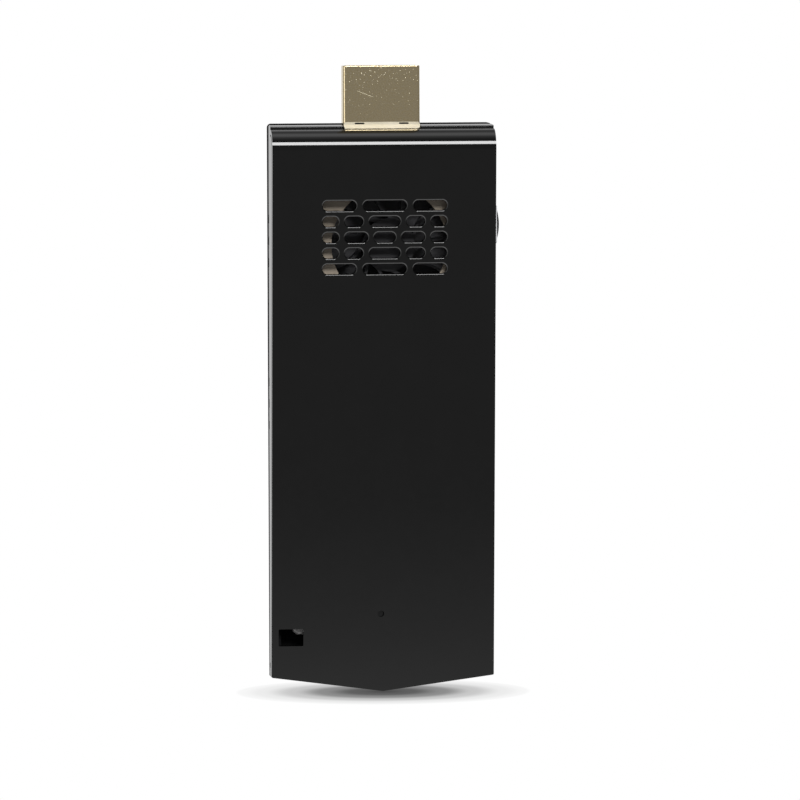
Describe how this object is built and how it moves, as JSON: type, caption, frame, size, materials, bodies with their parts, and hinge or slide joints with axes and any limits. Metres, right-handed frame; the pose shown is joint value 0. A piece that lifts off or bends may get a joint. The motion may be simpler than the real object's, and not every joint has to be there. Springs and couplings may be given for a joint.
{
  "type": "hdmi stick computer",
  "caption": "Gloss black stick computer with an HDMI plug at one end, a slotted fan grille, side sockets and a power button, and a pointed end with a lanyard hole.",
  "frame": {"origin": "On the flat back, on the centre line, midway between the plug end of the case and the corners of the pointed end", "axes": "+Y along the stick towards the HDMI plug, +Z out of the front face, +X to the right of the face"},
  "size_m": [0.0414, 0.1129, 0.0117],
  "materials": {
    "lid_gloss": "gloss",
    "frame_gloss": "gloss",
    "back_matte": "matte",
    "plug_gold": "satin gold plate",
    "contact_gold": "gold plate",
    "insulator": "moulded",
    "board": "solder mask",
    "chip_black": "moulded",
    "sheet_steel": "plated",
    "spreader": "brushed",
    "pad": "soft",
    "fan_plate": "warm grey sheet",
    "fan_black": "moulded",
    "bearing": "sintered",
    "magnet": "bonded ferrite",
    "wire": "insulated",
    "lead_socket": "moulded",
    "ceramic": "fired",
    "key": "gloss",
    "bezel": "satin",
    "screw": "black oxide",
    "pipe": "smoked clear",
    "post": "moulded"
  },
  "bodies": {
    "case": {"front_cover": "lid_gloss", "middle_frame": "frame_gloss", "back_cover": "back_matte", "case_screw_top_left": "screw", "case_screw_top_right": "screw", "case_screw_bottom_left": "screw", "case_screw_bottom_right": "screw", "hdmi_plug_shell": "plug_gold", "hdmi_plug_insulator": "insulator", "hdmi_plug_contacts": "contact_gold", "hdmi_plug_collar": "plug_gold", "main_board": "board", "processor": "chip_black", "memory_chip_left": "chip_black", "memory_chip_right": "chip_black", "storage_chip": "chip_black", "power_chip": "chip_black", "clock_crystal": "sheet_steel", "thermal_pad": "pad", "heat_spreader": "spreader", "power_inductors": "ceramic", "capacitors": "ceramic", "wireless_module": "sheet_steel", "antenna_strip": "contact_gold", "fan_housing": "fan_black", "fan_top_plate": "fan_plate", "fan_bearing_sleeve": "bearing", "fan_stator": "bearing", "fan_lead": "wire", "fan_lead_socket": "lead_socket", "usb_socket_shell": "sheet_steel", "usb_socket_tongue": "insulator", "usb_socket_contacts": "contact_gold", "power_socket_shell": "sheet_steel", "power_socket_tongue": "insulator", "card_socket_base": "insulator", "card_socket_cover": "sheet_steel", "button_bezel": "bezel", "tact_switch_body": "chip_black", "status_led": "lead_socket", "light_pipe": "pipe", "lanyard_post": "post"},
    "fan": {"fan_rotor": "fan_black", "fan_shaft": "sheet_steel", "fan_magnet_ring": "magnet"},
    "button": {"power_button": "key"},
    "plunger": {"switch_plunger": "insulator"}
  },
  "joints": [
    {"name": "fan_spin", "type": "hinge", "parent": "case", "child": "fan", "pos_m": [0.00115, 0.0281, 0.006], "axis": [0, 0, 1], "continuous": true},
    {"name": "button_press", "type": "slide", "parent": "case", "child": "button", "axis": [-1, 0, 0], "range_m": [0, 0.00025], "stiffness_N_per_m": 4000},
    {"name": "plunger_press", "type": "slide", "parent": "case", "child": "plunger", "axis": [-1, 0, 0], "range_m": [0, 0.00025]}
  ],
  "couplings": [
    {"joint": "plunger_press", "follows": "button_press", "ratio": 1}
  ]
}
